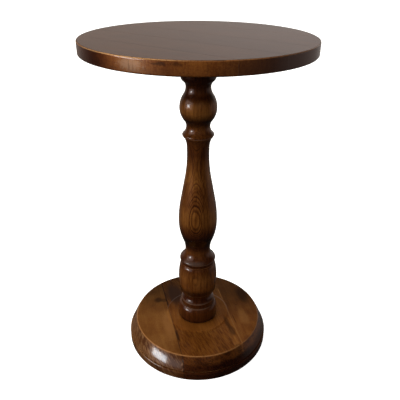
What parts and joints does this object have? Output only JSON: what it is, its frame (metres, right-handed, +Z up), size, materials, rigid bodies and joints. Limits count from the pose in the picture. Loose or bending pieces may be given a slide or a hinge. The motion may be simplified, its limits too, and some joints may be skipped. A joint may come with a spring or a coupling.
{
  "type": "gueridon",
  "caption": "Round pedestal side table: edge-glued disc top on a turned baluster column, standing on a moulded round base, all in dark stained wood.",
  "frame": {"origin": "on the floor, at the centre of the base's resting ring, under the column's axis", "axes": "+Z up along the column's axis; -Y is the front, the side that the picture shows; +X is to the right"},
  "size_m": [0.4, 0.4, 0.64],
  "materials": {
    "top_wood": "satin varnish over walnut stain",
    "column_wood": "gloss varnish over dark walnut stain",
    "base_wood": "satin varnish over walnut stain",
    "block_wood": "thin stain, no gloss",
    "dowel_wood": "bare beech",
    "fastener_steel": "zinc plated"
  },
  "bodies": {
    "root": {"base_board_left": "base_wood", "base_board_centre": "base_wood", "base_board_strip": "base_wood", "base_board_right": "base_wood", "base_dowels": "dowel_wood", "column": "column_wood", "coach_screw": "fastener_steel", "coach_screw_washer": "fastener_steel", "tenon_wedge": "dowel_wood", "mounting_block": "block_wood", "block_screws": "fastener_steel", "top_board_front": "top_wood", "top_board_front_middle": "top_wood", "top_board_middle": "top_wood", "top_board_back_middle": "top_wood", "top_board_back": "top_wood", "top_dowels": "dowel_wood"}
  },
  "joints": []
}
